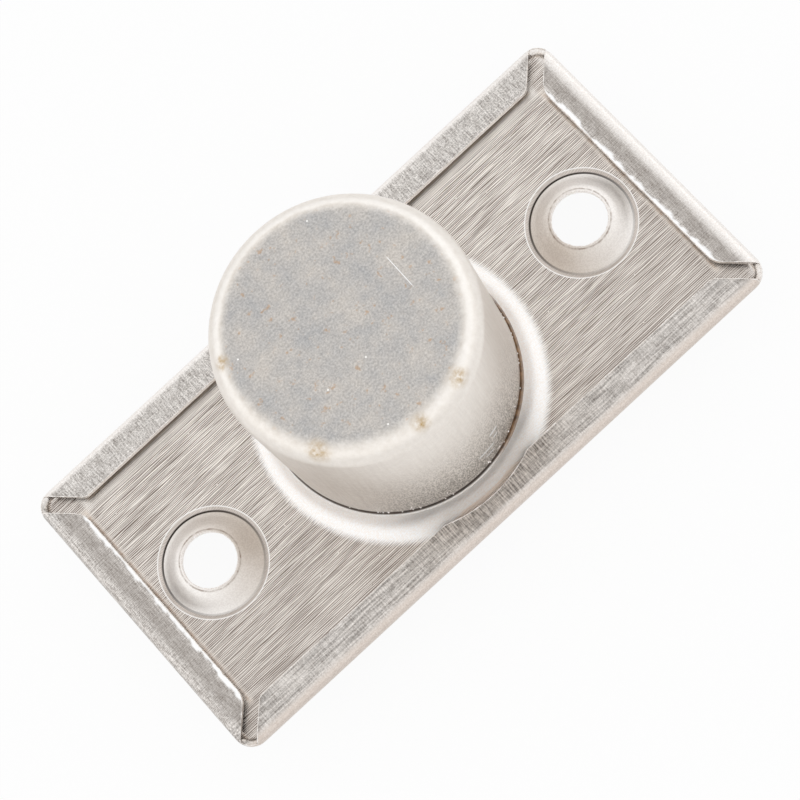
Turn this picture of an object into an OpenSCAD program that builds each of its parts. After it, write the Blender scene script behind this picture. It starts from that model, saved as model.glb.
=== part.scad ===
// Spring door catch: a hemmed sheet-metal face plate with a round barrel behind it.
// A sprung ball stands out of the front of the plate and gives way when it is pressed in.
// X runs along the plate, Z points to the barrel's closed end.
// The origin is on the barrel's axis, in the plane where the plate's hems rest on the door.

/* [Face plate] */
// Length of the plate over its folded ends
plate_l = 50.8; // [46:0.1:60]
// Width of the plate over its folded sides
plate_w = 25; // [24:0.1:28]
// Thickness of the stainless sheet
sheet_t = 0.5; // [0.4:0.05:0.6]
// Clear gap between the back of the plate and its folded hem
hem_gap = 0.55; // [0.4:0.05:0.7]
// Width of the hem, from the folded edge to the cut edge
hem_w = 2.5; // [2:0.1:3]
// Gap between the mitred ends of two hems at a corner
mitre_gap = 1.25; // [1.15:0.05:1.8]
// Radius of the rounded inner end of the long hems' mitres
long_mitre_r = 0.7; // [0.5:0.1:2]
// Radius of the rounded inner end of the short hems' mitres
short_mitre_r = 1.7; // [0.5:0.1:3]
// Radius of the plate's corners, seen from above
corner_r = 1.5; // [1.2:0.05:1.6]
// Angle by which the lip at a corner curls up past the upright
lip_angle = 25; // [0:1:40]

/* [Collar pressed up around the barrel] */
// Height of the collar's rim above the back of the plate
collar_h = 2.6; // [2.3:0.05:3]
// Largest bend radius of the collar, on the back of the plate
collar_bend_max_r = 1.85; // [1.2:0.05:1.85]
// Flat land left between the collar's foot and the fold of the long hems
collar_land = 0.225; // [0.1:0.025:0.4]
// Room between the collar and the notch in the long hems
notch_gap = 0.6; // [0.4:0.05:0.8]

/* [Screw holes] */
// Distance from the end of the plate to the centre of a screw hole
screw_inset = 7.15; // [6.6:0.05:8]
// Diameter of the screw hole
screw_hole_d = 4.2; // [3.6:0.1:4.6]
// Diameter of the pressed dimple at its foot
dimple_d = 7.6; // [7.2:0.1:8.2]
// Width of the flat rim round the hole, on top of the dimple
dimple_rim_w = 0.2; // [0.1:0.05:0.3]
// Width of the coined groove around the dimple
coin_w = 0.38; // [0.3:0.02:0.5]
// Depth of the coined groove, whose outer side slopes at 45 degrees
coin_depth = 0.2; // [0.1:0.01:0.25]

/* [Barrel] */
// Outside diameter of the barrel
barrel_d = 18.8; // [18:0.1:19.4]
// Height of the barrel's closed end above the seat of the hems
barrel_h = 19.5; // [18:0.1:26]
// Thickness of the barrel's wall
barrel_wall = 0.6; // [0.5:0.05:0.8]
// Thickness of the barrel's closed end
barrel_end_t = 0.7; // [0.5:0.05:1]
// Outside radius of the edge of the closed end
barrel_edge_r = 1.9; // [1.5:0.05:2.1]
// Step by which the barrel's mouth is necked in to pass through the collar
neck_step = 0.3; // [0.2:0.05:0.5]
// Length of that necked mouth
neck_h = 1.5; // [1.2:0.1:1.8]

/* [Ball and retaining bush] */
// Diameter of the ball
ball_d = 12.7; // [11.5:0.05:13.5]
// How far the bush's lip reaches in over the ball's radius
lip_reach = 0.45; // [0.35:0.05:0.6]
// Thickness of the bush's lip at its edge
lip_t = 0.35; // [0.25:0.05:0.5]
// Height of the bush's nose in front of the plate
nose_h = 0.6; // [0.4:0.05:1]
// Width of the bush's nose around the ball
nose_w = 2.4; // [2:0.1:2.8]
// Radius of the nose's outer edge
nose_edge_r = 0.45; // [0.2:0.05:0.55]
// Depth of the bush's flange below the front of the plate
flange_drop = 0.08; // [0:0.02:0.2]
// Length by which the bush guides the ball past its pressed-in place
guide_extra = 1.2; // [0.8:0.1:1.6]

/* [Spring and spring cup] */
// Thickness of the spring cup's sheet
cup_t = 0.7; // [0.5:0.05:0.8]
// Height of the cup's skirt above its flange
cup_skirt_h = 2; // [1:0.1:2.4]
// Diameter of the spring wire
wire_d = 1.2; // [0.9:0.05:1.25]
// Number of turns of the spring, with one closed turn at each end
spring_turns = 6; // [5:0.5:6]

/* [Clearances] */
// Radial gap of a fit that is pressed together
press_gap = 0.03; // [0.02:0.01:0.05]
// Gap between the collar and the barrel's neck and shoulder
collar_gap = 0.05; // [0.03:0.01:0.08]
// Gap between the ball and what guides it
ball_gap = 0.08; // [0.05:0.01:0.1]
// Radial gap between the spring cup and the barrel
cup_gap = 0.2; // [0.1:0.05:0.3]
// Gap between the spring cup and the end of the bush
stop_gap = 0.4; // [0.2:0.05:0.6]
// Gap between the spring and what holds its ends
spring_gap = 0.05; // [0.02:0.01:0.1]
// Radial gap between the spring and the cup's skirt
spring_side_gap = 0.25; // [0.15:0.05:0.4]

/* [Hidden] */
$fn = 96;

steel = [0.74, 0.71, 0.69];
dull_steel = [0.72, 0.71, 0.70];
nickel = [0.78, 0.75, 0.71];
bright_steel = [0.82, 0.82, 0.83];
spring_steel = [0.45, 0.45, 0.47];

// Sheet levels, from the seat of the hems down to the front of the plate
back_z = -sheet_t - hem_gap;
front_z = back_z - sheet_t;
fold_r = sheet_t + hem_gap / 2;
fold_in_r = hem_gap / 2;
mitre_shift = mitre_gap / sqrt(2);
corner_x = plate_l / 2 - corner_r;
corner_y = plate_w / 2 - corner_r;

// Collar: a quarter bend that rises to an upright rim around the barrel's neck
barrel_r = barrel_d / 2;
barrel_in_r = barrel_r - barrel_wall;
neck_r = barrel_r - neck_step;
neck_in_r = neck_r - barrel_wall;
collar_hole_r = neck_r + collar_gap;
collar_room = plate_w / 2 - fold_r - collar_land - collar_hole_r - sheet_t;
collar_bend_r = min(collar_bend_max_r, collar_room);
collar_front_bend_r = collar_bend_r + sheet_t;
collar_foot_r = collar_hole_r + collar_front_bend_r;
collar_bend_z = back_z + collar_bend_r;
collar_rim_z = back_z + collar_h;
// The notch clears the collar at the underside of the hem
notch_r = bend_reach(collar_bend_r, -sheet_t) + notch_gap;

// Screw dimple: its rim stands level with the hems
screw_x = plate_l / 2 - screw_inset;
screw_r = screw_hole_d / 2;
dimple_r = dimple_d / 2;
rim_r = screw_r + dimple_rim_w;
coin_r = dimple_r + coin_w;
coin_z = back_z - coin_depth;
dimple_slope = -coin_z / (dimple_r - rim_r);
dimple_drop = sheet_t * sqrt(1 + dimple_slope * dimple_slope);
dimple_mouth_r = dimple_r - (front_z + dimple_drop - coin_z) / dimple_slope;
dimple_under_z = coin_z + (dimple_r - screw_r) * dimple_slope - dimple_drop;

// Ball at rest against the lip of the bush
ball_r = ball_d / 2;
ball_seat_r = ball_r + ball_gap;
throat_r = ball_r - lip_reach;
nose_z = front_z - nose_h;
ball_z = nose_z + lip_t + sqrt(ball_seat_r * ball_seat_r - throat_r * throat_r);
ball_travel = nose_z - (ball_z - ball_r);

// The barrel's shoulder sits on the collar's rim, and the bush's flange lies in the collar's dish
shoulder_z = collar_rim_z + collar_gap;
barrel_mouth_z = shoulder_z - neck_h;
nose_r = ball_r + nose_w;
flange_z = front_z + flange_drop;
flange_bend_r = collar_front_bend_r + press_gap;
flange_rim_r = bend_reach(flange_bend_r, flange_z);
shank_r = neck_in_r - press_gap;
bush_top_z = ball_z + ball_travel + guide_extra;

// Spring cup and spring
cup_z = bush_top_z + stop_gap;
cup_r = barrel_in_r - cup_gap;
spring_bottom_z = cup_z + cup_t + spring_gap;
spring_top_z = barrel_h - barrel_end_t - spring_gap;
wire_r = wire_d / 2;
spring_r = cup_r - cup_t - spring_side_gap - wire_r;
wire_sides = 10;
rings_per_turn = 24;
closed_pitch = 1.06 * wire_d;
ground_share = 0.3;

// Points along a round stretch of an outline, from one angle to another
function arc(centre, radius, from, to, steps) =
    [for (i = [0:steps]) let (a = from + (to - from) * i / steps) centre + radius * [cos(a), sin(a)]];

// Distance from the axis to the collar's bend, for a radius about the bend's middle, at a height
function bend_reach(radius, z) = collar_foot_r - sqrt(radius * radius - pow(collar_bend_z - z, 2));

// Section of the folded edge: a ring around the middle of the fold, outer edge at x = 0, top at y = 0
module fold_ring() {
    translate([-fold_r, -fold_r]) difference() {
        circle(fold_r);
        circle(fold_in_r);
    }
}

// One quarter of that section: the upper one rolls over into the hem, the lower one rises from the flat
module fold_quarter(lower) {
    intersection() {
        fold_ring();
        translate([-fold_r, -fold_r * (1 + lower)]) square(fold_r);
    }
}

// Lays a section along one side of the plate, centred, with the plate's outer edge at y = 0
module along_side(run) {
    rotate([90, 0, 90]) linear_extrude(run, center = true) children();
}

// Upright part of the fold, which runs on to the corner lips
module fold_wall(run) {
    along_side(run - 2 * corner_r) fold_quarter(1);
}

// Plan of one hem with mitred ends, rounded where a mitre meets the cut edge
module hem_plan(run, end_r) {
    half = run / 2 - mitre_shift;
    tip = half - hem_w;
    touch = end_r * tan(22.5);
    right = concat(
        arc([tip - touch, end_r - hem_w], end_r, -90, -45, 6),
        [[half + fold_r, fold_r]]
    );
    polygon(concat(right, [for (i = [len(right) - 1:-1:0]) [-right[i][0], right[i][1]]]));
}

// Part of the hem that is folded back over the plate
module hem_lap(run, end_r) {
    intersection() {
        union() {
            along_side(run - 2 * corner_r) fold_quarter(0);
            along_side(run) translate([-hem_w, -sheet_t]) square([hem_w - fold_r, sheet_t]);
        }
        translate([0, 0, -2 * fold_r]) linear_extrude(3 * fold_r) hem_plan(run, end_r);
    }
}

// Slot between the mitred ends of two hems, running out from a corner's centre
module mitre_slot() {
    rotate(45) translate([0, -mitre_gap / 2, -fold_r]) cube([2 * corner_r, mitre_gap, 2 * fold_r]);
}

// A section of the fold, swept around a corner of the plate
module around_corner() {
    rotate_extrude(angle = 90) translate([corner_r, 0]) children();
}

// Fold at a corner: the upright wall, the rolled ends of both hems and a curled lip between them
module corner_fold() {
    middle = [-fold_r, -fold_r];
    lip_end = 2 * fold_r * [cos(lip_angle), sin(lip_angle)];
    around_corner() fold_quarter(1);
    difference() {
        around_corner() fold_quarter(0);
        translate([0, 0, -fold_r]) mitre_slot();
    }
    intersection() {
        around_corner() intersection() {
            fold_ring();
            translate(middle) polygon([[0, 0], [2 * fold_r, 0], lip_end]);
        }
        translate([0, 0, -fold_r]) mitre_slot();
    }
}

// Section of the collar: a quarter bend and an upright rim
module collar_section() {
    intersection() {
        translate([collar_foot_r, collar_bend_z]) difference() {
            circle(collar_front_bend_r);
            circle(collar_bend_r);
        }
        translate([collar_hole_r, front_z]) square(collar_front_bend_r);
    }
    translate([collar_hole_r, collar_bend_z]) square([sheet_t, collar_rim_z - collar_bend_z]);
}

// Section of a screw dimple, raised to the back, with the coined groove around its foot
module dimple_section() {
    polygon([
        [coin_r, front_z],
        [coin_r, back_z],
        [coin_r - coin_depth, coin_z],
        [dimple_r, coin_z],
        [rim_r, 0],
        [screw_r, 0],
        [screw_r, dimple_under_z],
        [dimple_mouth_r, front_z],
    ]);
}

module each_screw() {
    for (side = [-1, 1]) translate([side * screw_x, 0, 0]) children();
}

// The flat of the plate, inside its folds
module flat_plan() {
    bend = 2 * fold_r;
    square([plate_l - bend, plate_w - 2 * corner_r], center = true);
    square([plate_l - 2 * corner_r, plate_w - bend], center = true);
    for (x = [-1, 1], y = [-1, 1]) translate([x * corner_x, y * corner_y]) circle(corner_r - fold_r);
}

module face_plate() {
    color(steel) union() {
        translate([0, 0, front_z]) linear_extrude(sheet_t) difference() {
            flat_plan();
            circle(collar_foot_r);
            each_screw() circle(coin_r);
        }
        rotate_extrude() collar_section();
        each_screw() rotate_extrude() dimple_section();
        for (turn = [0, 180]) rotate(turn) {
            translate([0, plate_w / 2, 0]) fold_wall(plate_l);
            translate([plate_l / 2, 0, 0]) rotate(-90) fold_wall(plate_w);
            translate([plate_l / 2, 0, 0]) rotate(-90) hem_lap(plate_w, short_mitre_r);
            difference() {
                translate([0, plate_w / 2, 0]) hem_lap(plate_l, long_mitre_r);
                translate([0, 0, -sheet_t - hem_gap / 2]) cylinder(h = 2 * fold_r, r = notch_r);
            }
            translate([corner_x, corner_y, 0]) corner_fold();
            translate([-corner_x, corner_y, 0]) rotate(90) corner_fold();
        }
    }
}

// Outline of a closed cup end: a straight wall and a rounded edge
module cup_outline(radius, bottom, top, edge_r) {
    translate([0, bottom]) square([radius, top - bottom - edge_r]);
    translate([0, bottom]) square([radius - edge_r, top - bottom]);
    translate([radius - edge_r, top - edge_r]) circle(edge_r);
}

// Deep-drawn cup, necked in at its open mouth
module barrel() {
    inner_edge_r = barrel_edge_r - barrel_wall;
    inner_shoulder_z = shoulder_z + barrel_wall;
    color(dull_steel) rotate_extrude() difference() {
        union() {
            cup_outline(barrel_r, shoulder_z, barrel_h, barrel_edge_r);
            translate([0, barrel_mouth_z]) square([neck_r, shoulder_z - barrel_mouth_z + barrel_wall]);
        }
        cup_outline(barrel_in_r, inner_shoulder_z, barrel_h - barrel_end_t, inner_edge_r);
        translate([0, barrel_mouth_z - barrel_wall]) square([neck_in_r, barrel_h / 2]);
    }
}

// Turned bush that keeps the ball in: nose, flange in the collar's dish, shank in the barrel
module retaining_bush() {
    color(nickel) rotate_extrude() difference() {
        union() {
            translate([throat_r, nose_z]) square([nose_r - nose_edge_r - throat_r, nose_h + flange_drop]);
            translate([throat_r, nose_z + nose_edge_r])
                square([nose_r - throat_r, nose_h + flange_drop - nose_edge_r]);
            translate([nose_r - nose_edge_r, nose_z + nose_edge_r]) circle(nose_edge_r);
            difference() {
                translate([throat_r, flange_z])
                    square([flange_rim_r - throat_r, barrel_mouth_z - press_gap - flange_z]);
                translate([collar_foot_r, collar_bend_z]) circle(flange_bend_r);
            }
            translate([throat_r, flange_z]) square([shank_r - throat_r, bush_top_z - flange_z]);
        }
        translate([0, ball_z]) circle(ball_seat_r);
        translate([0, ball_z]) square([ball_seat_r, bush_top_z]);
    }
}

module ball() {
    color(bright_steel) translate([0, 0, ball_z]) sphere(ball_r);
}

// Pressed cup between the ball and the spring: a dish for the ball, a flange and a skirt
module spring_cup() {
    color(nickel) rotate_extrude() difference() {
        union() {
            translate([0, cup_z]) square([cup_r, cup_t]);
            translate([cup_r - cup_t, cup_z]) square([cup_t, cup_t + cup_skirt_h]);
            intersection() {
                translate([0, ball_z]) circle(ball_seat_r + cup_t);
                translate([0, cup_z]) square(ball_d);
            }
        }
        translate([0, ball_z]) circle(ball_seat_r);
        translate([-ball_d, cup_z - ball_d]) square(ball_d * [1, 3]);
    }
}

// Height of the wire's middle after a number of turns, with a closed turn at each end
start_z = spring_bottom_z + ground_share * wire_d;
end_z = spring_top_z - ground_share * wire_d;
open_pitch = (end_z - start_z - 2 * closed_pitch) / (spring_turns - 2);
function wire_z(turn) =
    turn < 1 ? start_z + closed_pitch * turn
    : turn > spring_turns - 1 ? end_z - closed_pitch * (spring_turns - turn)
    : start_z + closed_pitch + open_pitch * (turn - 1);

// One ring of the wire's skin, ground flat where it would pass the spring's ends
function wire_ring(turn) =
    [for (side = [0:wire_sides - 1])
        let (a = 360 * side / wire_sides, r = spring_r + wire_r * cos(a), z = wire_z(turn) + wire_r * sin(a))
        [r * cos(360 * turn), r * sin(360 * turn), min(max(z, spring_bottom_z), spring_top_z)]];

module spring() {
    last = spring_turns * rings_per_turn;
    points = [for (i = [0:last]) each wire_ring(i / rings_per_turn)];
    skin = [for (i = [0:last - 1], s = [0:wire_sides - 1])
        let (a = i * wire_sides + s, b = i * wire_sides + (s + 1) % wire_sides)
        each [[a, b, b + wire_sides], [a, b + wire_sides, a + wire_sides]]];
    first_end = [for (s = [wire_sides - 1:-1:0]) s];
    last_end = [for (s = [0:wire_sides - 1]) last * wire_sides + s];
    color(spring_steel) polyhedron(points, concat(skin, [first_end, last_end]));
}

face_plate();
barrel();
retaining_bush();
ball();
spring_cup();
spring();
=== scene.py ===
"""Spring door catch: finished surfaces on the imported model, seen from behind as in the photograph."""
import math
import random

import bmesh
import bpy
from mathutils import Matrix, Vector, noise


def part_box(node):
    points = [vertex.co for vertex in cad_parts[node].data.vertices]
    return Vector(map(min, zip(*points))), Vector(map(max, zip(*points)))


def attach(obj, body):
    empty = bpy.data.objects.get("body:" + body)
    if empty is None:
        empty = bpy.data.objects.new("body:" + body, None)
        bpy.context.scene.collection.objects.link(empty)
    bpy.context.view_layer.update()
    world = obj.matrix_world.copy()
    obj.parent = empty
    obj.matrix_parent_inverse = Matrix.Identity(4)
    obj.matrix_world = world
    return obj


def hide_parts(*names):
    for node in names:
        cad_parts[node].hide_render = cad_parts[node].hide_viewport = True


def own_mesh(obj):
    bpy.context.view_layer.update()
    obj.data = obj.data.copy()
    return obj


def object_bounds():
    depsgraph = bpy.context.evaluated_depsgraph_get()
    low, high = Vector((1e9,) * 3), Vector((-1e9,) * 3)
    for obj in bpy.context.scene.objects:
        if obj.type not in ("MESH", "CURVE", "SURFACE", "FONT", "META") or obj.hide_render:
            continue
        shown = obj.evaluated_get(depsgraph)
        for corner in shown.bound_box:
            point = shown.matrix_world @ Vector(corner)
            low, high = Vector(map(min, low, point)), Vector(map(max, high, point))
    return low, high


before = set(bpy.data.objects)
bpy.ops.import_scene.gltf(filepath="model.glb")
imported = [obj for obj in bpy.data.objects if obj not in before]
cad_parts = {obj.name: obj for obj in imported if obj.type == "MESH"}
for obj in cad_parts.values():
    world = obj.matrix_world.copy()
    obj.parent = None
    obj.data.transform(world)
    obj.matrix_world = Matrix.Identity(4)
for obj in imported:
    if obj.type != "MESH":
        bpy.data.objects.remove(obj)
CAD_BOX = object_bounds()

# Sizes, in metres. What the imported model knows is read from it, and the rest is named in millimetres.
MM = 0.001
PLATE_LOW, PLATE_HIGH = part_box("face_plate")
BARREL_LOW, BARREL_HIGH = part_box("barrel")
SPRING_LOW, SPRING_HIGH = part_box("spring")

SHEET = 0.5 * MM            # thickness of the plate's sheet
HEM_WIDE = 2.5 * MM         # how far a hem laps over the back
COLLAR_FOOT = 11.5 * MM     # radius where the collar leaves the flat
NOTCH_R = 10.78 * MM        # radius of the notches in the long hems
SCREW_X = 18.25 * MM        # screw holes from the middle
DIMPLE_R = 3.8 * MM         # radius of a dimple's foot
COIN_R = 4.18 * MM          # outer radius of the groove around it
HOLE_R = 2.1 * MM
HEM_X = PLATE_HIGH.x - HEM_WIDE     # cut edges of the short hems
HEM_Y = PLATE_HIGH.y - HEM_WIDE     # cut edges of the long hems
BACK_Z = PLATE_LOW.z + SHEET    # back of the flat

BARREL_R = BARREL_HIGH.x
NECK_H = 1.5 * MM           # length of the barrel's necked mouth
SHOULDER_Z = BARREL_LOW.z + NECK_H      # underside of the barrel where it stands on the collar
WALL = 0.6 * MM
END_THICK = 0.7 * MM
END_EDGE_R = 1.9 * MM
NECK_R = 9.1 * MM
SHOULDER_EDGE_R = 0.12 * MM

WIRE_R = 0.6 * MM
COIL_R = SPRING_HIGH.x - WIRE_R
COIL_TURNS = 6
COIL_CLOSED = 1.06 * 2 * WIRE_R     # pitch of the closed end turns

# Meshes: tolerances, and angles in degrees above which an edge stays sharp or counts as sheared
TINY = 1e-7
WELD = 0.2e-6
BARREL_SHARP = 30
PLATE_SHARP = 28
SHEARED_ANGLE = 50

# The photograph's camera, from a fit to the plate's edges, holes and barrel.
CAMERA_AT = Vector((-3.431, -59.661, 198.125)) * MM
CAMERA_BACK = Vector((-0.015292, -0.284470, 0.958563))
CAMERA_UP = Vector((0.678134, 0.701546, 0.219014))
CAMERA_LENS = 128.478
CAMERA_SENSOR = 36.0

# Brush lines on the plate: their spacing, and how many times longer than that they run before they bend
BRUSH_PITCH = 0.13 * MM
BRUSH_STRETCH = 18
WAVE_REPEAT = 0.314         # a wave texture repeats after this many of its own units

# Sheared edges of the short hems: distances of the cuts from the edge, steps along it,
# and in millimetres the depth of the tears and the mean width of the bright burr
TEAR_CUTS = (0.08 * MM, 0.2 * MM, 0.32 * MM, 0.45 * MM)
TEAR_STEPS = 200
TEAR_DEPTH = 0.05
BURR_WIDE = 0.3

# Bright grit: its radius before the random scale, and its counts.
# The bead along sheared edges: its radius, lumps and steps.
GRIT_R = 0.07 * MM
GRIT_AT_FOOT = 46
GRIT_IN_ALL = 80
BEAD_R = 0.045 * MM
BEAD_LUMP = 0.6 * MM
BEAD_STEP = 0.12 * MM

# Light: radiance of the tent overhead, added at its sides and its two ends, and of the floor in reflections,
# which falls from near to far over a span in metres
TENT_TOP = 1.0
TENT_SIDE = 0.17
TENT_ENDS = 0.11
FLOOR_NEAR, FLOOR_FAR = 1.0, 0.55
FLOOR_SPAN = (0.04, 0.3)
FLOOR_HALF = 3.0            # half the floor's width, in metres

# Marks seen on the barrel, in millimetres: rust (place and size) on the edge of its closed end, white specks on
# that end, and light scratches (start, end and width). The sides are directions from the axis.
RUST_SPOTS = ((-6.9, -5.4, 19.2, 0.9), (3.3, -8.2, 19.2, 0.8), (-0.6, -8.7, 19.1, 0.7), (-7.6, 3.7, 19.3, 0.6))
RUSTY_SIDE = Vector((0.8, -0.6, 0.0))      # of the crevice round the barrel
# The painted highlight on the barrel's end edge shows towards this side
GLINT_SIDE = Vector((0.7, 0.7, 0.0))       # of the barrel's end edge
GRIMY_SIDE = Vector((0.1, -1.0, 0.0))      # of the barrel's foot
END_SPECKS = ((-2.22, -7.3), (3.01, 6.88), (-3.59, -2.8), (-6.6, 3.0), (-0.3, -2.9))
SCRATCHES = (
    ((5.22, 1.5, 19.5), (5.16, -1.7, 19.5), 0.05),
    ((3.39, -8.77, 6.05), (2.4, -9.09, 6.34), 0.32),
    ((3.15, -8.86, 5.0), (2.6, -9.03, 5.2), 0.26),
    ((2.58, -9.04, 4.22), (0.78, -9.37, 4.81), 0.3),
    ((2.3, -9.11, 3.2), (1.3, -9.31, 3.55), 0.24),
)


def colour(code):
    """Linear colour from an sRGB hex code."""
    parts = [int(code[k:k + 2], 16) / 255 for k in (0, 2, 4)]
    return [p / 12.92 if p <= 0.04045 else ((p + 0.055) / 1.055) ** 2.4 for p in parts] + [1.0]


def add(tree, kind, inputs=None, output=None, **settings):
    """Adds a node with its settings, sets or links its inputs by name or place, and returns one of its outputs."""
    made = tree.nodes.new(kind)
    for name, value in settings.items():
        setattr(made, name, value)
    for key, value in (inputs or {}).items():
        if isinstance(key, int):
            socket = made.inputs[key]
        else:
            socket = next(s for s in made.inputs if s.name == key and s.enabled)
        if isinstance(value, bpy.types.NodeSocket):
            tree.links.new(value, socket)
        else:
            socket.default_value = value
    if output:
        return made.outputs[output]
    return next((s for s in made.outputs if s.enabled), None)


# Materials

def new_material(name):
    made = bpy.data.materials.new(name)
    made.use_nodes = True
    made.node_tree.nodes.clear()
    return made, made.node_tree


def finish_metal(tree, tone, rough, normal=None):
    inputs = {"Base Color": tone, "Metallic": 1.0, "Roughness": rough}
    if normal is not None:
        inputs["Normal"] = normal
    shader = add(tree, "ShaderNodeBsdfPrincipled", inputs)
    add(tree, "ShaderNodeOutputMaterial", {"Surface": shader})


def places(tree):
    """The place on the surface, its X, Y and Z, and its distance from the barrel's axis."""
    here = add(tree, "ShaderNodeTexCoord", output="Object")
    at = add(tree, "ShaderNodeSeparateXYZ", {"Vector": here}).node.outputs
    return here, at, in_plan(tree, at["X"], at["Y"])


def in_plan(tree, x, y):
    """Length of (x, y)."""
    plan = add(tree, "ShaderNodeCombineXYZ", {"X": x, "Y": y})
    return add(tree, "ShaderNodeVectorMath", {0: plan}, operation="LENGTH", output="Value")


def grain(tree, here, size, detail=2.0, spread=0.2):
    """Noise with lumps of size (x, y, z) in mm, its values within spread of the middle stretched from 0 to 1."""
    stretched = add(tree, "ShaderNodeMapping", {"Vector": here, "Scale": [1 / (s * MM) for s in size]})
    lumps = add(tree, "ShaderNodeTexNoise", {"Vector": stretched, "Scale": 1.0, "Detail": detail, "Roughness": 0.6})
    return add(tree, "ShaderNodeMapRange", {"Value": lumps, "From Min": 0.5 - spread, "From Max": 0.5 + spread})


def zone(tree, *parts):
    """Product of masks and numbers, where (value, start, full) is a mask that rises softly from start to full."""
    made = None
    for part in parts:
        if isinstance(part, tuple):
            limits = {"Value": part[0], "From Min": part[1], "From Max": part[2]}
            part = add(tree, "ShaderNodeMapRange", limits, interpolation_type="SMOOTHSTEP")
        made = part if made is None else add(tree, "ShaderNodeMath", {0: made, 1: part}, operation="MULTIPLY")
    return made


def coat(tree, tone, mask, dark, light=None, pattern=None):
    """Lays a colour, a pattern of two colours or a second tone over a tone, where a mask is."""
    over = colour(dark) if isinstance(dark, str) else dark
    if light:
        over = add(tree, "ShaderNodeMix", {"Factor": pattern, "A": over, "B": colour(light)}, data_type="RGBA")
    if tone is None:
        return over
    return add(tree, "ShaderNodeMix", {"Factor": mask, "A": tone, "B": over}, data_type="RGBA")


def scratch(tree, here, start, end, width):
    """1 on a straight scratch between two points."""
    start, end = Vector(start) * MM, Vector(end) * MM
    along, length = (end - start).normalized(), (end - start).length
    apart = add(tree, "ShaderNodeVectorMath", {0: here, 1: (start + end) / 2}, operation="SUBTRACT")
    run = add(tree, "ShaderNodeVectorMath", {0: apart, 1: along}, operation="DOT_PRODUCT", output="Value")
    run = add(tree, "ShaderNodeMath", {0: run}, operation="ABSOLUTE")
    off = add(tree, "ShaderNodeVectorMath", {0: apart, 1: along}, operation="CROSS_PRODUCT")
    off = add(tree, "ShaderNodeVectorMath", {0: off}, operation="LENGTH", output="Value")
    return zone(tree, (off, width * MM, 0.0), (run, length / 2, length / 3))


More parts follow.
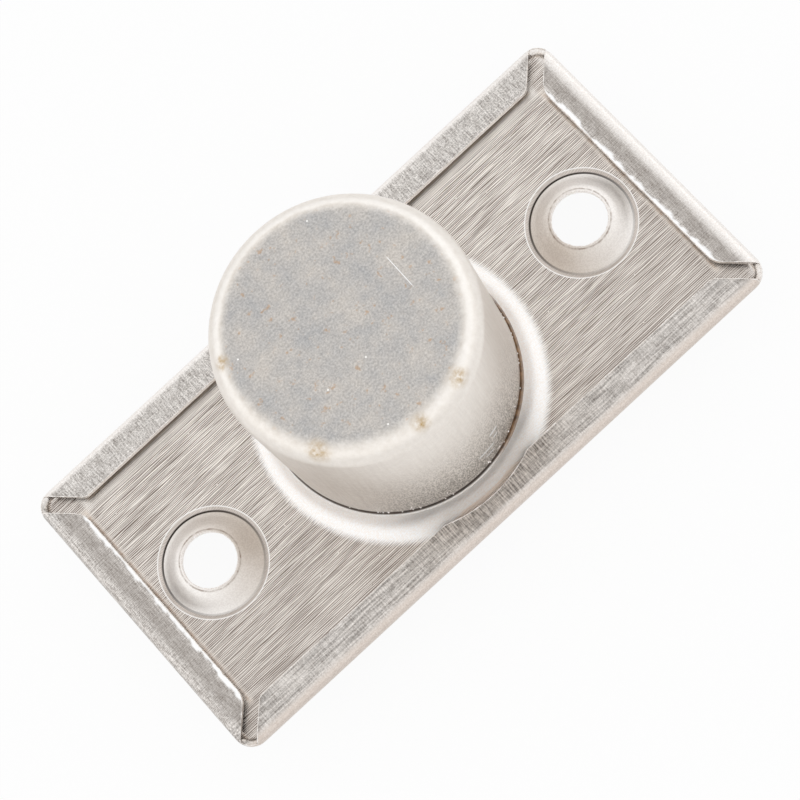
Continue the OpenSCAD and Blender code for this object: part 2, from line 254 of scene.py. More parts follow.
def brushed_stainless():
    # Stainless sheet: a warm grey with light and dark brush lines along the plate, satin where it was pressed.
    # The brush lines are drawn coarser than real ones, so that they show.
    made, tree = new_material("brushed_stainless")
    here, at, radius = places(tree)
    end = add(tree, "ShaderNodeMath", {0: at["X"]}, operation="ABSOLUTE")
    side = add(tree, "ShaderNodeMath", {0: at["Y"]}, operation="ABSOLUTE")
    from_screw = add(tree, "ShaderNodeMath", {0: end, 1: SCREW_X}, operation="SUBTRACT")
    ring = in_plan(tree, from_screw, at["Y"])
    lines = grain(tree, here, (3.6, 0.065, 0.065), 0.0, 0.09)
    scale = WAVE_REPEAT / BRUSH_PITCH
    run = add(tree, "ShaderNodeMapping", {"Vector": here, "Scale": (scale / BRUSH_STRETCH, scale, scale)})
    waves = {"Vector": run, "Scale": 1.0, "Distortion": 5.0, "Detail": 2.0, "Detail Scale": 1.6}
    fine = add(tree, "ShaderNodeTexWave", waves, bands_direction="Y", output="Fac")
    lines = add(tree, "ShaderNodeMix", {"Factor": 0.65, "A": lines, "B": fine}, data_type="FLOAT")
    lines = add(tree, "ShaderNodeMapRange", {"Value": lines, "From Min": 0.3, "From Max": 0.66})
    streaks = grain(tree, here, (3.0, 0.16, 0.16), 2.0, 0.12)
    clouds = grain(tree, here, (5.0, 4.0, 4.0))
    speckle = grain(tree, here, (0.12, 0.12, 0.12), 2.0, 0.11)
    blots = grain(tree, here, (0.6, 0.45, 0.45), 3.0, 0.14)
    cross = grain(tree, here, (0.12, 1.1, 0.3), 2.0, 0.14)
    rusty = grain(tree, here, (0.5, 0.5, 0.4))

    # The flat is brushed and duller towards -Y, a painted shade, and on its back it is painted paler along the foot
    # of three hems, painted light over the shade there
    back = zone(tree, (at["Z"], BACK_Z - 0.42 * MM, BACK_Z - 0.28 * MM))
    tone = coat(tree, None, None, "67574f", "fff9f2", lines)
    tone = coat(tree, tone, 0.06, "8d837c", "fdf3ea", streaks)
    tone = coat(tree, tone, 0.12, "b3a9a1", "e6ddd6", clouds)
    # Painted shade: darker towards -Y
    tone = coat(tree, tone, zone(tree, (at["Y"], PLATE_HIGH.y, PLATE_LOW.y), 0.2), "9c928a")
    low = (at["Z"], -SHEET, BACK_Z + 0.1 * MM)
    # Painted light: paler along the foot of the +Y hem and then of the two short hems, over the shade beside them
    foot = zone(tree, back, (at["Y"], HEM_Y - 1.1 * MM, HEM_Y), low, (end, HEM_X, HEM_X - 0.5 * MM))
    tone = coat(tree, tone, zone(tree, foot, 0.75), "fffaf4")
    foot = zone(tree, back, (end, HEM_X - 0.5 * MM, HEM_X - 0.05 * MM), (side, HEM_Y, HEM_Y - 0.6 * MM), low)
    tone = coat(tree, tone, zone(tree, foot, 0.55), "fff6ec")

    # The hems lost their brushing to the folding tool: mottled and scratched across.
    # The long ones are streaked on one side, and darker, with marks across, by the notches.
    on_hem = zone(tree, (at["Z"], -SHEET - 0.3 * MM, -SHEET), (radius, NOTCH_R - 0.1 * MM, NOTCH_R - 0.02 * MM))
    long_hem = zone(tree, on_hem, (side, HEM_Y - 0.3 * MM, HEM_Y))
    mottled = coat(tree, None, None, "6a635e", "fffaf5", speckle)
    mottled = coat(tree, mottled, 0.5, "756e68", "fffbf6", cross)
    mottled = coat(tree, mottled, 0.22, "8b8681", "fbf9f6", blots)
    tone = coat(tree, tone, zone(tree, on_hem, (end, HEM_X - 0.1 * MM, HEM_X), 0.7), mottled)
    tone = coat(tree, tone, zone(tree, long_hem, 0.88), mottled)
    lower = zone(tree, long_hem, (at["Y"], 0.0, PLATE_LOW.y / 2))
    tone = coat(tree, tone, zone(tree, lower, 0.4), "5f5751", "f3ece6", streaks)
    by_notch = zone(tree, long_hem, (radius, NOTCH_R + 2.2 * MM, NOTCH_R + 0.2 * MM))
    tone = coat(tree, tone, zone(tree, by_notch, 0.6), "57504a", "d8cfc7", cross)

    # The short hems are darkest along their middle. The outsides of the folds were smoothed; the +Y fold and the +X
    # end fold are painted pale as a painted highlight, and the -Y fold pinkish grey as painted shade.
    short_hem = zone(tree, on_hem, (end, HEM_X, HEM_X + 0.35 * HEM_WIDE),
                     (end, PLATE_HIGH.x - 0.25 * HEM_WIDE, PLATE_HIGH.x - 0.5 * HEM_WIDE))
    tone = coat(tree, tone, zone(tree, short_hem, 0.42), "857c75")
    side_fold = zone(tree, (side, PLATE_HIGH.y - 0.8 * MM, PLATE_HIGH.y - 0.25 * MM))
    end_fold = zone(tree, (end, PLATE_HIGH.x - 1.35 * MM, PLATE_HIGH.x - 0.5 * MM))
    # Painted highlight on the folds, and painted shade on the -Y fold
    tone = coat(tree, tone, zone(tree, side_fold, 0.93), "f1ebe6", "fbf8f5", speckle)
    tone = coat(tree, tone, zone(tree, side_fold, (at["Y"], 0.0, PLATE_LOW.y / 2), 0.9), "cabeb4", "d9cec5", speckle)
    tone = coat(tree, tone, zone(tree, end_fold, (at["X"], 0.0, HEM_X), 0.93), "f1ebe6", "fbf8f5", speckle)

    # The dimples and the collar were drawn over a tool, which smoothed them. The collar is painted near white, a
    # painted sheen;
    # each dimple is painted paler on its outer side and darker on its inner side, with painted shadow on the +Y side
    # of its groove and a painted highlight on the groove's outer edge.
    dimple_lit_side = zone(tree, (from_screw, -DIMPLE_R, DIMPLE_R))
    dimple = zone(tree, (ring, DIMPLE_R + 0.14 * MM, DIMPLE_R + 0.02 * MM))
    coined = zone(tree, (ring, COIN_R + 0.05 * MM, COIN_R - 0.05 * MM))
    tone = coat(tree, tone, zone(tree, coined, 0.75), "b5aba3", "d8cfc8", clouds)
    # Painted light and shade: each dimple paler towards its outer side, darker towards its inner side
    tone = coat(tree, tone, zone(tree, dimple, 0.92), "d2c8be", "fffcf9", dimple_lit_side)
    tone = coat(tree, tone, zone(tree, dimple, 0.12), "a79f97", "fffdfb", speckle)
    # Painted shadow: a dark line in the groove at each dimple's foot, strongest on the +Y side
    groove_shadow = zone(tree, (ring, DIMPLE_R - 0.08 * MM, DIMPLE_R), (ring, DIMPLE_R + 0.17 * MM, DIMPLE_R + 0.07 * MM))
    tone = coat(tree, tone, zone(tree, groove_shadow, back, (at["Y"], -1.6 * COIN_R, COIN_R)), "38312c")
    # Painted highlight: a bright thin line round the groove's outer edge
    line = zone(tree, (ring, COIN_R - 0.06 * MM, COIN_R), (ring, COIN_R + 0.08 * MM, COIN_R + 0.02 * MM))
    tone = coat(tree, tone, zone(tree, line, back, 0.8), "fffdfb")
    rim = zone(tree, (ring, HOLE_R + 0.1 * MM, HOLE_R + 0.16 * MM), (ring, HOLE_R + 0.28 * MM, HOLE_R + 0.2 * MM))
    tone = coat(tree, tone, zone(tree, rim, (at["Z"], -0.4 * MM, -0.2 * MM), rusty, 0.8), "7d6653")
    flat = add(tree, "ShaderNodeMath", {0: 1.0, 1: long_hem}, operation="SUBTRACT")
    collar = zone(tree, flat, (radius, COLLAR_FOOT, COLLAR_FOOT - 0.7 * MM))
    # Painted sheen: the collar is painted near white
    tone = coat(tree, tone, zone(tree, collar, 0.95), "fbf6f1", "ffffff", speckle)

    # Rust in the crevice round the barrel, and beside the barrel a dark ring of dirt and painted crevice shade; rust
    # under the cut edges of the short hems, and a brown film inside the long ones
    facing = add(tree, "ShaderNodeVectorMath", {0: here, 1: RUSTY_SIDE}, operation="DOT_PRODUCT", output="Value")
    crevice = zone(tree, (at["Z"], PLATE_HIGH.z - 0.2 * MM, PLATE_HIGH.z - 0.03 * MM), (facing, 6.5 * MM, 8.6 * MM))
    # Dirt and painted crevice shade: a dark ring on the collar's rim beside the barrel
    rim_dirt_and_shade = zone(tree, (at["Z"], PLATE_HIGH.z - 0.08 * MM, PLATE_HIGH.z - 0.02 * MM),
                (radius, BARREL_R + 0.17 * MM, BARREL_R + 0.07 * MM))
    tone = coat(tree, tone, zone(tree, rim_dirt_and_shade, 0.9), "3d322a", "5d4c3f", rusty)
    tone = coat(tree, tone, zone(tree, crevice, 0.8), "5a4434", "b08c69", rusty)
    under = zone(tree, (end, HEM_X - 0.2 * MM, HEM_X - 0.08 * MM), (end, HEM_X + 0.2 * MM, HEM_X),
                 (at["Z"], BACK_Z + 0.2 * MM, BACK_Z + 0.1 * MM), (side, HEM_Y - 0.2 * MM, HEM_Y - 1.0 * MM))
    tone = coat(tree, tone, zone(tree, under, back, rusty, 0.4), "b98655")
    inside = zone(tree, (side, HEM_Y - 0.1 * MM, HEM_Y + 0.1 * MM),
                  (side, PLATE_HIGH.y - SHEET, PLATE_HIGH.y - 1.4 * SHEET),
                  (at["Z"], -SHEET, -SHEET - 0.05 * MM), (end, HEM_X - 0.5 * MM, HEM_X - 1.0 * MM))
    tone = coat(tree, tone, zone(tree, inside, back, 0.35), "f0cfae")

    # Sheared faces and torn edges shine
    sheared = add(tree, "ShaderNodeAttribute", attribute_name="sheared", output="Fac")
    tone = coat(tree, tone, zone(tree, sheared, 0.9), "e9e2dc", "fffdfa", speckle)
    burr = add(tree, "ShaderNodeAttribute", attribute_name="burr", output="Fac")
    tone = coat(tree, tone, burr, "ffffff")

    rough = add(tree, "ShaderNodeMapRange", {"Value": lines, "To Min": 0.3, "To Max": 0.44})
    drawn = add(tree, "ShaderNodeMath", {0: dimple, 1: collar}, operation="MAXIMUM")
    rough = add(tree, "ShaderNodeMix", {"Factor": drawn, "A": rough, "B": 0.5}, data_type="FLOAT")
    smoothed = add(tree, "ShaderNodeMath", {0: side_fold, 1: end_fold}, operation="MAXIMUM")
    relief = add(tree, "ShaderNodeMapRange", {"Value": smoothed, "To Min": 0.4, "To Max": 0.0})
    bump = add(tree, "ShaderNodeBump", {"Strength": relief, "Distance": 0.01 * MM, "Height": lines})
    finish_metal(tree, tone, rough, bump)
    return made


def drawn_steel():
    # Drawn steel: neutral grey with a fine matt grain and faint blue and brown clouds. Its closed end has rust, brown
    # freckles and a painted highlight on its edge, and its wall has grime at the foot, a few scratches, and painted
    # light and shade.
    made, tree = new_material("drawn_steel")
    here, at, radius = places(tree)
    fine = grain(tree, here, (0.15, 0.15, 0.15), 3.0, 0.16)
    lumps = grain(tree, here, (0.5, 0.5, 0.5), 3.0)
    clouds = grain(tree, here, (2.2, 2.2, 2.2), 3.0)
    drawn = grain(tree, here, (0.2, 0.2, 4.0))
    rusty = grain(tree, here, (0.35, 0.35, 0.35), 4.0)

    end_tone = coat(tree, None, None, "817f7d", "edeae6", fine)
    end_tone = coat(tree, end_tone, 0.4, "a5a4a3", "d7d3ce", lumps)
    end_tone = coat(tree, end_tone, 0.45, "aaabae", "d9d0c6", clouds)
    freckles = grain(tree, here, (0.55, 0.55, 0.55), 2.0, 0.3)
    end_tone = coat(tree, end_tone, zone(tree, (freckles, 0.72, 0.9), 0.5), "b98f62")
    # Painted highlight: a paler ring on the end's rounded edge
    end_tone = coat(tree, end_tone, zone(tree, (radius, 7.6 * MM, 8.5 * MM), 0.9), "dcd4ca", "f3eee8", lumps)
    tone = coat(tree, None, None, "d6cdc4", "f0e9e1", drawn)
    tone = coat(tree, tone, 0.4, "d2cac2", "faf5ef", fine)
    tone = coat(tree, tone, 0.25, "d6cabc", "f6f1ea", lumps)
    # Painted highlight: the wall lighter on its +X side
    tone = coat(tree, tone, zone(tree, (at["X"], 1.0 * MM, 7.0 * MM), 0.6), "f4ece4", "fffaf4", drawn)
    top = zone(tree, (at["Z"], BARREL_HIGH.z - END_EDGE_R, BARREL_HIGH.z - 0.1 * MM))
    tone = coat(tree, tone, top, end_tone)

    # Painted light and shade: the wall lighter towards its top and darker towards its foot
    high = zone(tree, (at["Z"], SHOULDER_Z + 5.0 * MM, BARREL_HIGH.z - END_EDGE_R),
                (at["Z"], BARREL_HIGH.z, BARREL_HIGH.z - 0.5 * MM))
    tone = coat(tree, tone, zone(tree, high, 0.5), "fbf6f0")
    low = zone(tree, (at["Z"], SHOULDER_Z + 6.0 * MM, SHOULDER_Z))
    tone = coat(tree, tone, zone(tree, low, 0.3), "847b72", "ebe4dc", fine)
    # Grime at the foot, its grain drawn coarser than the real one and upright, so that it shows
    grime = grain(tree, here, (0.1, 0.1, 0.36), 2.0, 0.11)
    facing = add(tree, "ShaderNodeVectorMath", {0: here, 1: GRIMY_SIDE}, operation="DOT_PRODUCT", output="Value")
    grimy = zone(tree, (at["Z"], SHOULDER_Z + 13.0 * MM, SHOULDER_Z), (facing, 4.0 * MM, 9.0 * MM))
    tone = coat(tree, tone, zone(tree, grimy, 0.6), "72685e", "fffaf4", grime)
    # Painted highlight: a bright ring on the end's rounded edge, left off on the side away from the glint side
    glint_facing = add(tree, "ShaderNodeVectorMath", {0: here, 1: GLINT_SIDE}, operation="DOT_PRODUCT", output="Value")
    glint = zone(tree, top, (radius, 8.2 * MM, 8.5 * MM), (radius, 8.95 * MM, 8.6 * MM),
                 (glint_facing, -8.0 * MM, -1.0 * MM))
    tone = coat(tree, tone, zone(tree, glint, 0.45), "fffdfa")
    for x, y, z, spread in RUST_SPOTS:
        spot = Vector((x, y, z)) * MM
        away = add(tree, "ShaderNodeVectorMath", {0: here, 1: spot}, operation="DISTANCE", output="Value")
        tone = coat(tree, tone, zone(tree, (away, 1.4 * spread * MM, 0.0), rusty, 0.9), "ab8528")
    foot = zone(tree, (at["Z"], SHOULDER_Z + 0.5 * MM, SHOULDER_Z + 0.05 * MM), rusty, 0.35)
    tone = coat(tree, tone, foot, "7a5638")
    # Rust and painted crevice shade: a dark line at the foot, where the barrel stands on the collar
    foot = zone(tree, (at["Z"], SHOULDER_Z + 0.35 * MM, SHOULDER_Z + 0.12 * MM), 0.9)
    tone = coat(tree, tone, foot, "41362d", "6d5c4c", rusty)
    for x, y in END_SPECKS:
        spot = Vector((x * MM, y * MM, BARREL_HIGH.z))
        away = add(tree, "ShaderNodeVectorMath", {0: here, 1: spot}, operation="DISTANCE", output="Value")
        tone = coat(tree, tone, zone(tree, (away, 0.09 * MM, 0.04 * MM)), "fffdfa")
    for start, end, width in SCRATCHES:
        tone = coat(tree, tone, scratch(tree, here, start, end, width), "ffffff")

    rough = add(tree, "ShaderNodeMapRange", {"Value": fine, "To Min": 0.4, "To Max": 0.52})
    bump = add(tree, "ShaderNodeBump", {"Strength": 0.4, "Distance": 0.012 * MM, "Height": fine})
    finish_metal(tree, tone, rough, bump)
    return made


def turned_metal(name, dark, light, rough_low, rough_high):
    # Plated and turned on a lathe: fine rings round the axis that catch the light, drawn coarse enough to show
    made, tree = new_material(name)
    here, at, radius = places(tree)
    section = add(tree, "ShaderNodeCombineXYZ", {"X": radius, "Z": at["Z"]})
    rings = grain(tree, section, (0.06, 0.06, 0.06))
    clouds = grain(tree, here, (2.5, 2.5, 2.5))
    tone = coat(tree, None, None, dark, light, rings)
    tone = coat(tree, tone, 0.2, dark, light, clouds)
    rough = add(tree, "ShaderNodeMapRange", {"Value": clouds, "To Min": rough_low, "To Max": rough_high})
    bump = add(tree, "ShaderNodeBump", {"Strength": 0.2, "Distance": 0.006 * MM, "Height": rings})
    finish_metal(tree, tone, rough, bump)
    return made


def bearing_steel():
    # Polished bearing steel: a bright mirror with faint scuffs where it rolls on the strike plate
    made, tree = new_material("bearing_steel")
    here = add(tree, "ShaderNodeTexCoord", output="Object")
    scuffs = grain(tree, here, (0.08, 1.6, 1.6))
    clouds = grain(tree, here, (1.5, 1.5, 1.5))
    tone = coat(tree, None, None, "e0e0e2", "e6e6e7", clouds)
    rough = add(tree, "ShaderNodeMapRange", {"Value": zone(tree, scuffs, clouds), "To Min": 0.05, "To Max": 0.12})
    finish_metal(tree, tone, rough)
    return made


def spring_wire():
    # Oiled drawn wire: dark grey with fine lengthwise lines
    made, tree = new_material("spring_wire")
    here = add(tree, "ShaderNodeTexCoord", output="Object")
    lines = grain(tree, here, (1.2, 1.2, 0.06))
    clouds = grain(tree, here, (1.5, 1.5, 1.5))
    tone = coat(tree, None, None, "85868a", "b4b4b6", lines)
    tone = coat(tree, tone, zone(tree, clouds, 0.3), "8d7f6f")
    rough = add(tree, "ShaderNodeMapRange", {"Value": clouds, "To Min": 0.22, "To Max": 0.36})
    finish_metal(tree, tone, rough)
    return made


def torn_steel():
    # Torn stainless: bright little flakes along a sheared edge
    made, tree = new_material("torn_steel")
    here = add(tree, "ShaderNodeTexCoord", output="Object")
    flecks = grain(tree, here, (0.1, 0.1, 0.1))
    finish_metal(tree, coat(tree, None, None, "d9cfc6", "fdfbf9", flecks), 0.35)
    return made


def floor_paper():
    # White paper: white to the eye and in reflections, with a soft shadow under the catch, and clear from below
    made, tree = new_material("floor_paper")
    here = add(tree, "ShaderNodeTexCoord", output="Object")
    tone = coat(tree, None, None, "e6e6e6", "ebebeb", grain(tree, here, (0.5, 0.5, 0.5)))
    paper = add(tree, "ShaderNodeBsdfDiffuse", {"Color": tone})
    rays = add(tree, "ShaderNodeLightPath", output="Is Camera Ray").node.outputs
    away = add(tree, "ShaderNodeVectorMath", {0: here}, operation="LENGTH", output="Value")
    level = add(tree, "ShaderNodeMapRange", {"Value": away, "From Min": FLOOR_SPAN[0], "From Max": FLOOR_SPAN[1],
                                             "To Min": FLOOR_NEAR, "To Max": FLOOR_FAR})
    level = add(tree, "ShaderNodeMath", {0: level, 1: rays["Is Camera Ray"]}, operation="MAXIMUM")
    glow = add(tree, "ShaderNodeEmission", {"Color": colour("ffffff"), "Strength": level})
    seen = add(tree, "ShaderNodeMath", {0: rays["Is Camera Ray"], 1: rays["Is Glossy Ray"]}, operation="MAXIMUM")
    surface = add(tree, "ShaderNodeMixShader", {0: zone(tree, seen, 0.92), 1: paper, 2: glow})
    below = add(tree, "ShaderNodeNewGeometry", output="Backfacing")
    surface = add(tree, "ShaderNodeMixShader", {0: below, 1: surface, 2: add(tree, "ShaderNodeBsdfTransparent")})
    add(tree, "ShaderNodeOutputMaterial", {"Surface": surface})
    return made


# Shapes

def new_piece(name, mesh, made, body, slot_name, *nodes):
    """An object at the origin that rides a body, stands for CAD nodes and hides them, and takes the finish it is
    given; its slot name is not used.
    """
    piece = bpy.data.objects.new(name, mesh)
    bpy.context.scene.collection.objects.link(piece)
    mesh.materials.clear()
    mesh.materials.append(made)
    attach(piece, body)
    if nodes:
        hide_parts(*nodes)
    return piece


def smooth(mesh, degrees):
    mesh.shade_smooth()
    mesh.set_sharp_from_angle(angle=math.radians(degrees))


def arc(centre, radius, start, end, steps=10):
    """Points of an arc in the (radius, height) plane, angles in degrees."""
    turns = [math.radians(start + (end - start) * k / steps) for k in range(steps + 1)]
    return [(centre[0] + radius * math.cos(t), centre[1] + radius * math.sin(t)) for t in turns]


def lathe(name, profile, steps=192):
    """Turns a closed (radius, height) outline, run with its inside on the left, about the Z axis."""
    shape = bmesh.new()
    rings = []
    for radius, height in profile:
        if radius < TINY:
            rings.append([shape.verts.new((0, 0, height))] * steps)
            continue
        turns = [2 * math.pi * k / steps for k in range(steps)]
        rings.append([shape.verts.new((radius * math.cos(t), radius * math.sin(t), height)) for t in turns])
    for low, high in zip(rings, rings[1:] + rings[:1]):
        for k in range(steps):
            corners = list(dict.fromkeys((low[k], low[(k + 1) % steps], high[(k + 1) % steps], high[k])))
            if len(corners) > 2:
                shape.faces.new(corners)
    bmesh.ops.recalc_face_normals(shape, faces=shape.faces)
    mesh = bpy.data.meshes.new(name)
    shape.to_mesh(mesh)
    shape.free()
    smooth(mesh, BARREL_SHARP)
    return mesh


def bake(name, mesh, tree, values):
    """Runs a Geometry Nodes tree on a mesh, its inputs set by name, and returns the plain mesh that it makes."""
    carrier = bpy.data.objects.new(name, mesh)
    bpy.context.scene.collection.objects.link(carrier)
    modifier = carrier.modifiers.new(name, "NODES")
    modifier.node_group = tree
    for item in tree.interface.items_tree:
        if item.item_type == "SOCKET" and item.in_out == "INPUT" and item.name in values:
            modifier[item.identifier] = values[item.name]
    bpy.context.view_layer.update()
    done = bpy.data.meshes.new_from_object(carrier.evaluated_get(bpy.context.evaluated_depsgraph_get()))
    carrier.modifiers.remove(modifier)
    bpy.data.objects.remove(carrier)
    done.name = name
    return done


def new_tree(name, inputs):
    """A Geometry Nodes tree with a geometry and named float inputs, and its group input's outputs."""
    tree = bpy.data.node_groups.new(name, "GeometryNodeTree")
    tree.interface.new_socket("Geometry", in_out="INPUT", socket_type="NodeSocketGeometry")
    for label in inputs:
        tree.interface.new_socket(label, in_out="INPUT", socket_type="NodeSocketFloat")
    tree.interface.new_socket("Geometry", in_out="OUTPUT", socket_type="NodeSocketGeometry")
    return tree, tree.nodes.new("NodeGroupInput").outputs


def end_tree(tree, geometry, made):
    whole = add(tree, "GeometryNodeRealizeInstances", {"Geometry": geometry})
    coated = add(tree, "GeometryNodeSetMaterial", {"Geometry": whole, "Material": made})
    add(tree, "NodeGroupOutput", {0: coated})


# Pieces

def dust_specks(made):
    """Specks of bright grit: along the barrel's foot and on the flat of the plate."""
    chance = random.Random(11)
    points = []
    for _ in range(GRIT_AT_FOOT):
        turn = math.radians(chance.uniform(-150, 0))
        rise = SHOULDER_Z + (0.1 + 1.5 * chance.random() ** 2) * MM
        points.append(Vector((BARREL_R * math.cos(turn), BARREL_R * math.sin(turn), rise)))
    while len(points) < GRIT_IN_ALL:
        spot = Vector((chance.uniform(-22, 22), chance.uniform(-9.5, 9.5), 0)) * MM
        from_screw = math.hypot(abs(spot.x) - SCREW_X, spot.y)
        if spot.length > COLLAR_FOOT + 0.2 * MM and from_screw > COIN_R + 0.2 * MM:
            points.append(spot + Vector((0, 0, BACK_Z)))
    mesh = bpy.data.meshes.new("speck_points")
    mesh.from_pydata(points, [], [])
    tree, given = new_tree("dust_specks", ("Radius", "Least", "Most"))
    grit = add(tree, "GeometryNodeMeshIcoSphere", {"Radius": given["Radius"], "Subdivisions": 2})
    sizes = {"Min": given["Least"], "Max": given["Most"], "Seed": 4}
    size = add(tree, "FunctionNodeRandomValue", sizes, data_type="FLOAT")
    specks = add(tree, "GeometryNodeInstanceOnPoints", {"Points": given["Geometry"], "Instance": grit, "Scale": size})
    end_tree(tree, specks, made)
    return bake("dust_specks", mesh, tree, {"Radius": GRIT_R, "Least": 0.5, "Most": 1.3})


def barrel_mesh():
    """Deep-drawn cup: its closed end rounded, and its mouth necked in to stand on the collar."""
    top, radius = BARREL_HIGH.z, BARREL_R
    inner_r, inner_edge = radius - WALL, END_EDGE_R - WALL
    profile = [(NECK_R, BARREL_LOW.z), (NECK_R, SHOULDER_Z)]
    profile += arc((radius - SHOULDER_EDGE_R, SHOULDER_Z + SHOULDER_EDGE_R), SHOULDER_EDGE_R, -90, 0, 6)
    profile += arc((radius - END_EDGE_R, top - END_EDGE_R), END_EDGE_R, 0, 90, 14)
    profile += [(0, top), (0, top - END_THICK)]
    profile += arc((inner_r - inner_edge, top - END_THICK - inner_edge), inner_edge, 90, 0, 8)
    profile += [(inner_r, SHOULDER_Z + WALL), (NECK_R - WALL, SHOULDER_Z + WALL)]
    profile += [(NECK_R - WALL, BARREL_LOW.z)]
    return lathe("barrel_skin", profile)


def plate_shape():
    """The folded plate as a bmesh, its short hems cut finely so that their sheared edges can be torn and uneven."""
    shape = bmesh.new()
    shape.from_mesh(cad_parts["face_plate"].data)
    bmesh.ops.remove_doubles(shape, verts=shape.verts, dist=WELD)

    def cut(point, normal, reach):
        faces = [f for f in shape.faces if near(f.calc_center_median(), reach) and spans(f, point, normal)]
        parts = set(faces)
        for f in faces:
            parts.update(f.edges)
            parts.update(f.verts)
        bmesh.ops.bisect_plane(shape, geom=list(parts), plane_co=point, plane_no=normal, dist=TINY)

    def near(c, reach):
        return c.z > -SHEET - 0.01 * MM and HEM_X - 0.2 * MM < abs(c.x) < HEM_X + reach

    def spans(f, point, normal):
        sides = [(v.co - Vector(point)).dot(normal) for v in f.verts]
        return min(sides) < -TINY and max(sides) > TINY

    for inset in TEAR_CUTS:
        for sign in (-1, 1):
            cut((sign * (HEM_X + inset), 0, 0), Vector((1, 0, 0)), HEM_WIDE)
    for k in range(1, TEAR_STEPS):
        y = -PLATE_HIGH.y + 2 * PLATE_HIGH.y * k / TEAR_STEPS
        cut((0, y, 0), Vector((0, 1, 0)), 0.46 * MM)

    burr = shape.verts.layers.float.new("burr")
    for v in shape.verts:
        across = abs(v.co.x) - HEM_X
        off_hem = v.co.z < -SHEET - 0.01 * MM or abs(v.co.y) > PLATE_HIGH.y - 2.4 * MM
        if off_hem or not -0.02 * MM < across < 0.33 * MM:
            continue
        upper = v.co.z > -0.1 * MM
        seat = Vector((3, v.co.y / MM, math.copysign(7, v.co.x)))
        coarse, medium, fine = (noise.noise(seat * k) for k in (0.45, 1.9, 6.0))
        if upper:
            width = BURR_WIDE + 0.22 * coarse + 0.2 * medium
            v[burr] = min(1.0, max(0.0, (width * MM - across) / (0.08 * MM)))
        if across < 0.02 * MM:
            tear = (TEAR_DEPTH * coarse + TEAR_DEPTH * medium + TEAR_DEPTH * fine) * MM
            v.co.x += math.copysign(tear, v.co.x) * (1 if upper else 0.5)
    sheared = shape.faces.layers.float.new("sheared")
    for f in shape.faces:
        c = f.calc_center_median()
        inside = abs(c.x) < PLATE_HIGH.x - 2 * SHEET and abs(c.y) < PLATE_HIGH.y - 2 * SHEET
        f[sheared] = 1.0 if inside and abs(f.normal.z) < 0.2 and -SHEET < c.z < 0 else 0.0
    return shape


def sheared_edges(shape):
    """The upper edges of the sheared sheet, as a mesh of lines: hems, mitres, notches and the rims of the holes."""
    lines = bmesh.new()
    known = {}
    for e in shape.edges:
        heights = [v.co.z for v in e.verts]
        if len(e.link_faces) != 2 or min(heights) < -0.45 * MM or max(heights) > 0.01 * MM:
            continue
        if e.calc_face_angle() < math.radians(SHEARED_ANGLE):
            continue
        ends = [known.get(v) or known.setdefault(v, lines.verts.new(v.co)) for v in e.verts]
        lines.edges.new(ends)
    mesh = bpy.data.meshes.new("sheared_edges")
    lines.to_mesh(mesh)
    lines.free()
    return mesh


def plate_mesh(shape):
    mesh = bpy.data.meshes.new("face_plate_skin")
    shape.to_mesh(mesh)
    smooth(mesh, PLATE_SHARP)
    # Large flat faces keep their own normals beside the bends
    carrier = bpy.data.objects.new("plate_carrier", mesh)
    bpy.context.scene.collection.objects.link(carrier)
    modifier = carrier.modifiers.new("flat_faces", "WEIGHTED_NORMAL")
    modifier.weight = 100
    modifier.keep_sharp = True
    bpy.context.view_layer.update()
    done = bpy.data.meshes.new_from_object(carrier.evaluated_get(bpy.context.evaluated_depsgraph_get()))
    bpy.data.objects.remove(carrier)
    return done


def bright_edges(lines, made):
    """A thin uneven bead of bright metal along sheared edges."""
    tree, given = new_tree("sheared_edge_bead", ("Radius", "Lump", "Step"))
    path = add(tree, "GeometryNodeMeshToCurve", {"Mesh": given["Geometry"]})
    path = add(tree, "GeometryNodeResampleCurve", {"Curve": path, "Length": given["Step"]}, mode="LENGTH")
    here = add(tree, "GeometryNodeInputPosition")
    lumps = add(tree, "ShaderNodeTexNoise", {"Vector": here, "Scale": given["Lump"], "Detail": 2.0})
    uneven = {"Value": lumps, "From Min": 0.35, "From Max": 0.65, "To Min": 0.2, "To Max": 1.3}
    thick = add(tree, "ShaderNodeMapRange", uneven)
    section = add(tree, "GeometryNodeCurvePrimitiveCircle", {"Resolution": 6, "Radius": given["Radius"]})
    bead = add(tree, "GeometryNodeCurveToMesh", {"Curve": path, "Profile Curve": section, "Scale": thick})
    end_tree(tree, bead, made)
    values = {"Radius": BEAD_R, "Lump": 1 / BEAD_LUMP, "Step": BEAD_STEP}
    return bake("sheared_edge_bead", lines, tree, values)


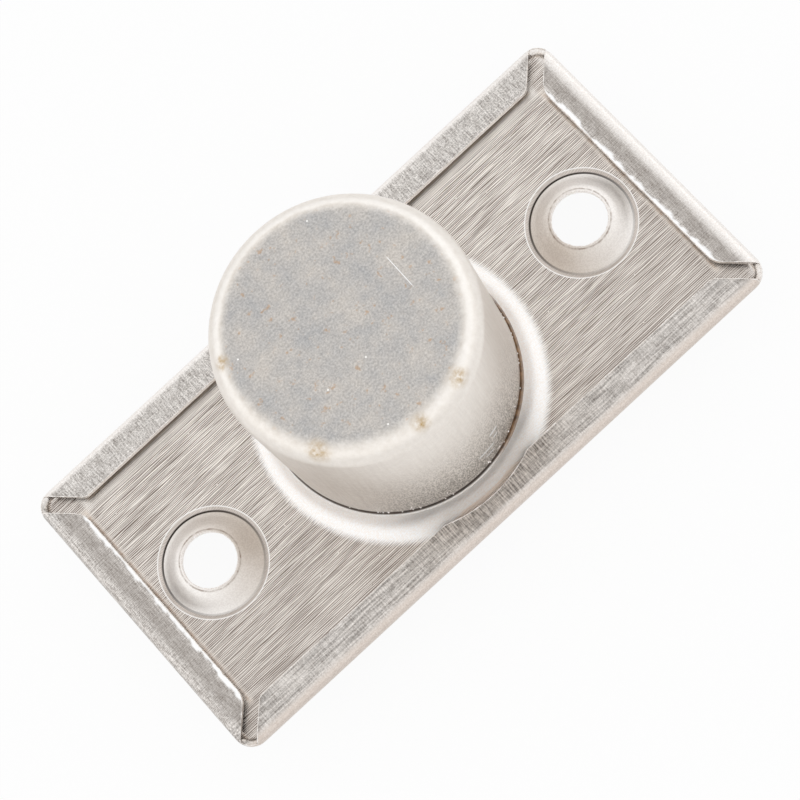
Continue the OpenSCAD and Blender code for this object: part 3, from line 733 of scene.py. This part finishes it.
def spring_mesh(made):
    """Closed and ground compression spring."""
    tree, given = new_tree("coil_spring", ("Turns", "Radius", "Wire", "Bottom", "Top", "Closed", "Rise"))
    line = add(tree, "GeometryNodeCurvePrimitiveLine", {"Start": (0, 0, 0), "End": (0, 0, 1)})
    line = add(tree, "GeometryNodeResampleCurve", {"Curve": line, "Count": 48 * COIL_TURNS + 1})
    part = add(tree, "GeometryNodeSplineParameter", output="Factor")
    turn = add(tree, "ShaderNodeMath", {0: part, 1: given["Turns"]}, operation="MULTIPLY")
    angle = add(tree, "ShaderNodeMath", {0: turn, 1: 2 * math.pi}, operation="MULTIPLY")
    x = add(tree, "ShaderNodeMath", {0: angle}, operation="COSINE")
    y = add(tree, "ShaderNodeMath", {0: angle}, operation="SINE")
    # Height: one closed turn at each end, and an even rise between them
    last = add(tree, "ShaderNodeMath", {0: given["Turns"], 1: 1.0}, operation="SUBTRACT")
    spans = ((0.0, 1.0, given["Closed"]), (1.0, last, given["Rise"]), (last, given["Turns"], given["Closed"]))
    z = given["Bottom"]
    for start, end, tall in spans:
        step = add(tree, "ShaderNodeMapRange", {"Value": turn, "From Min": start, "From Max": end, "To Max": tall})
        z = add(tree, "ShaderNodeMath", {0: z, 1: step}, operation="ADD")
    circle = add(tree, "ShaderNodeCombineXYZ", {"X": x, "Y": y})
    circle = add(tree, "ShaderNodeVectorMath", {0: circle, "Scale": given["Radius"]}, operation="SCALE")
    rise = add(tree, "ShaderNodeCombineXYZ", {"Z": z})
    place = add(tree, "ShaderNodeVectorMath", {0: circle, 1: rise}, operation="ADD")
    coil = add(tree, "GeometryNodeSetPosition", {"Geometry": line, "Position": place})
    section = add(tree, "GeometryNodeCurvePrimitiveCircle", {"Resolution": 20, "Radius": given["Wire"]})
    wire = add(tree, "GeometryNodeCurveToMesh", {"Curve": coil, "Profile Curve": section, "Fill Caps": True})
    # Grinding flattens both ends
    where = add(tree, "ShaderNodeSeparateXYZ", {"Vector": add(tree, "GeometryNodeInputPosition")}).node.outputs
    level = add(tree, "ShaderNodeMath", {0: where["Z"], 1: given["Bottom"]}, operation="MAXIMUM")
    level = add(tree, "ShaderNodeMath", {0: level, 1: given["Top"]}, operation="MINIMUM")
    ground = add(tree, "ShaderNodeCombineXYZ", {"X": where["X"], "Y": where["Y"], "Z": level})
    wire = add(tree, "GeometryNodeSetPosition", {"Geometry": wire, "Position": ground})
    end_tree(tree, wire, made)
    values = {"Turns": float(COIL_TURNS), "Radius": COIL_R, "Wire": WIRE_R, "Closed": COIL_CLOSED,
              "Bottom": SPRING_LOW.z, "Top": SPRING_HIGH.z,
              "Rise": SPRING_HIGH.z - SPRING_LOW.z - 2 * COIL_CLOSED}
    return bake("spring_wire_coil", bpy.data.meshes.new("spring_seed"), tree, values)


def world_light():
    """A white tent: even from above, brighter at its sides and two ends, and plain white to the camera."""
    world = bpy.data.worlds.new("white_tent")
    bpy.context.scene.world = world
    world.use_nodes = True
    tree = world.node_tree
    tree.nodes.clear()
    toward = add(tree, "ShaderNodeTexCoord", output="Generated")
    at = add(tree, "ShaderNodeSeparateXYZ", {"Vector": toward}).node.outputs
    end = add(tree, "ShaderNodeMath", {0: at["X"]}, operation="ABSOLUTE")
    height = add(tree, "ShaderNodeMath", {0: at["Z"]}, operation="ABSOLUTE")
    extra = add(tree, "ShaderNodeMapRange", {"Value": end, "To Min": TENT_SIDE, "To Max": TENT_SIDE + TENT_ENDS})
    level = add(tree, "ShaderNodeMath", {0: zone(tree, (height, 0.8, 0.2), extra), 1: TENT_TOP}, operation="ADD")
    rays = add(tree, "ShaderNodeLightPath", output="Is Camera Ray")
    level = add(tree, "ShaderNodeMix", {"Factor": rays, "A": level, "B": 1.0}, data_type="FLOAT")
    glow = add(tree, "ShaderNodeBackground", {"Color": colour("ffffff"), "Strength": level})
    add(tree, "ShaderNodeOutputWorld", {"Surface": glow})


def floor_and_camera():
    plane = bpy.data.meshes.new("floor")
    corners = ((-1, -1), (1, -1), (1, 1), (-1, 1))
    plane.from_pydata([(x * FLOOR_HALF, y * FLOOR_HALF, CAD_BOX[0][2]) for x, y in corners], [], [(0, 1, 2, 3)])
    floor = bpy.data.objects.new("floor", plane)
    bpy.context.scene.collection.objects.link(floor)
    plane.materials.append(floor_paper())

    lens = bpy.data.cameras.new("photo_camera")
    lens.lens = CAMERA_LENS
    lens.sensor_width = CAMERA_SENSOR
    lens.clip_start = 0.01
    camera = bpy.data.objects.new("photo_camera", lens)
    bpy.context.scene.collection.objects.link(camera)
    back = CAMERA_BACK.normalized()
    right = CAMERA_UP.cross(back).normalized()
    up = back.cross(right)
    turn = Matrix((right, up, back)).transposed().to_4x4()
    camera.matrix_world = Matrix.Translation(CAMERA_AT) @ turn
    bpy.context.scene.camera = camera


bpy.context.scene.view_settings.view_transform = "Standard"

plate = plate_shape()
torn = torn_steel()
new_piece("face_plate_skin", plate_mesh(plate), brushed_stainless(), "housing", "brushed_stainless", "face_plate")
new_piece("sheared_edge_bead", bright_edges(sheared_edges(plate), torn), torn, "housing", "brushed_stainless")
plate.free()
new_piece("dust_specks", dust_specks(torn), torn, "housing", "brushed_stainless")
new_piece("barrel_skin", barrel_mesh(), drawn_steel(), "housing", "drawn_steel", "barrel")
wire = spring_wire()
spring = new_piece("spring_coil", spring_mesh(wire), wire, "housing", "spring_wire", "spring")
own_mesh(spring)

# The bush, the ball and the spring cup keep their CAD meshes
finishes = {
    "retaining_bush": turned_metal("nickelled_brass", "b9b1a6", "dad3c9", 0.2, 0.32),
    "ball": bearing_steel(),
    "spring_cup": turned_metal("zinc_plated_steel", "bcc1c6", "d6dade", 0.25, 0.4),
}
for node, finish in finishes.items():
    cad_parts[node].data.materials.clear()
    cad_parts[node].data.materials.append(finish)

world_light()
floor_and_camera()
